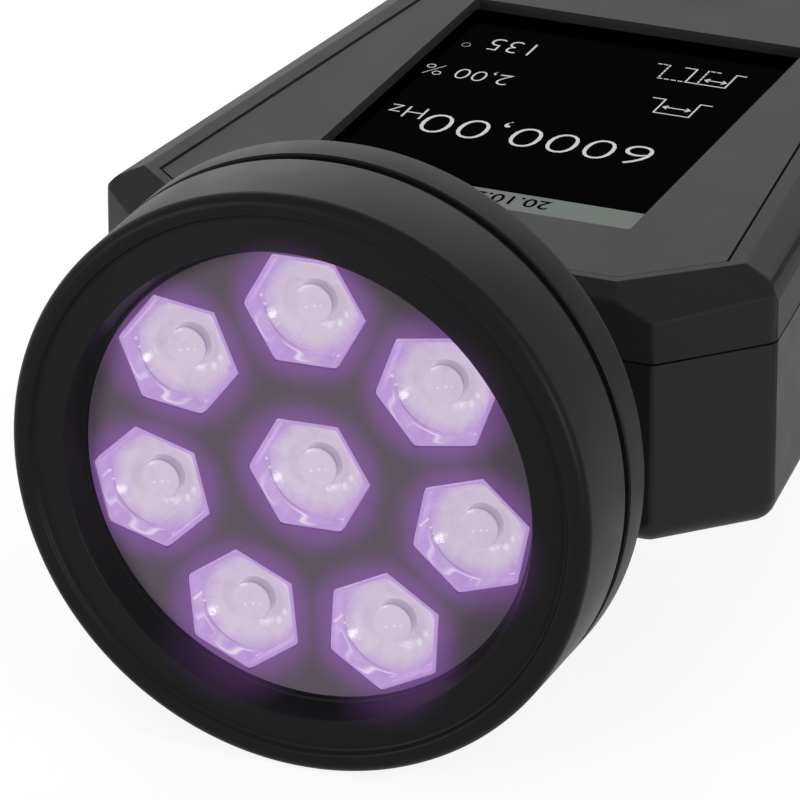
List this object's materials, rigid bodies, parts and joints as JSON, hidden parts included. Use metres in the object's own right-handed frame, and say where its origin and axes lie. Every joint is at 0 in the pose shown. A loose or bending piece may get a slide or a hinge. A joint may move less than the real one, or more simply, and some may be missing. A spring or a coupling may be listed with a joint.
{
  "type": "handheld ultraviolet stroboscope",
  "caption": "Handheld ultraviolet stroboscope: a round lamp head with hexagonal lenses, joined by a short neck to a tapered case with a display and a keypad.",
  "frame": {"origin": "mouth of the tripod thread, in the flat underside of the case", "axes": "+Y from the lamp to the rear end, +Z from the underside up through the display, +X to the right when looking along +Y; the lamp shines along -Y"},
  "size_m": [0.1072, 0.2152, 0.09],
  "materials": {
    "ring_black": "satin black powder coat",
    "housing_black": "matte black powder coat",
    "seal_rubber": "matte black",
    "plate_grey": "satin grey",
    "lens_clear": "clear, lit violet",
    "emitter": "clear silicone dome, lit violet",
    "metal_board": "plain",
    "screw_steel": "plain",
    "lead_black": "matte black sheath",
    "shell_grey": "fine-grained dark grey",
    "shell_dark": "fine-grained dark grey",
    "panel_grey": "fine satin dark grey",
    "gasket_foam": "black foam",
    "screen_glass": "black display glass",
    "board_green": "solder mask",
    "parts_black": "moulded black",
    "brass": "plain",
    "key_rubber": "matte grey silicone",
    "cell_wrap": "plastic wrap"
  },
  "bodies": {
    "instrument": {"lamp_front_ring": "ring_black", "lamp_rear_ring": "ring_black", "groove_seal": "seal_rubber", "lamp_housing": "housing_black", "lens_plate": "plate_grey", "lens_1": "lens_clear", "lens_2": "lens_clear", "lens_3": "lens_clear", "lens_4": "lens_clear", "lens_5": "lens_clear", "lens_6": "lens_clear", "lens_7": "lens_clear", "lens_8": "lens_clear", "led_1": "emitter", "led_2": "emitter", "led_3": "emitter", "led_4": "emitter", "led_5": "emitter", "led_6": "emitter", "led_7": "emitter", "led_8": "emitter", "led_board": "metal_board", "heat_sink": "metal_board", "board_screws": "screw_steel", "lamp_lead": "lead_black", "top_shell": "shell_grey", "bottom_shell": "shell_dark", "front_panel": "panel_grey", "display_gasket": "gasket_foam", "display_screen": "screen_glass", "display_module": "screw_steel", "main_board": "board_green", "board_parts": "parts_black", "board_spacers": "brass", "key_board": "board_green", "key_switches": "screw_steel", "keypad_screws": "screw_steel", "battery_cell_1": "cell_wrap", "battery_cell_2": "cell_wrap", "battery_holder": "parts_black", "battery_contacts": "screw_steel", "port_board": "board_green", "usb_socket": "screw_steel", "trigger_socket": "parts_black", "case_screws": "screw_steel", "tripod_insert": "brass"},
    "key_up_body": {"key_up": "key_rubber"},
    "key_down_body": {"key_down": "key_rubber"},
    "key_left_body": {"key_left": "key_rubber"},
    "key_right_body": {"key_right": "key_rubber"},
    "key_enter_body": {"key_enter": "key_rubber"},
    "key_back_body": {"key_back": "key_rubber"},
    "key_power_body": {"key_power": "key_rubber"}
  },
  "joints": [
    {"name": "key_up_press", "type": "slide", "parent": "instrument", "child": "key_up_body", "axis": [0, 0, -1], "range_m": [0, 0.0007], "stiffness_N_per_m": 600},
    {"name": "key_down_press", "type": "slide", "parent": "instrument", "child": "key_down_body", "axis": [0, 0, -1], "range_m": [0, 0.0007], "stiffness_N_per_m": 600},
    {"name": "key_left_press", "type": "slide", "parent": "instrument", "child": "key_left_body", "axis": [0, 0, -1], "range_m": [0, 0.0007], "stiffness_N_per_m": 600},
    {"name": "key_right_press", "type": "slide", "parent": "instrument", "child": "key_right_body", "axis": [0, 0, -1], "range_m": [0, 0.0007], "stiffness_N_per_m": 600},
    {"name": "key_enter_press", "type": "slide", "parent": "instrument", "child": "key_enter_body", "axis": [0, 0, -1], "range_m": [0, 0.0007], "stiffness_N_per_m": 600},
    {"name": "key_back_press", "type": "slide", "parent": "instrument", "child": "key_back_body", "axis": [0, 0, -1], "range_m": [0, 0.0007], "stiffness_N_per_m": 600},
    {"name": "key_power_press", "type": "slide", "parent": "instrument", "child": "key_power_body", "axis": [0, 0, -1], "range_m": [0, 0.0007], "stiffness_N_per_m": 600}
  ]
}
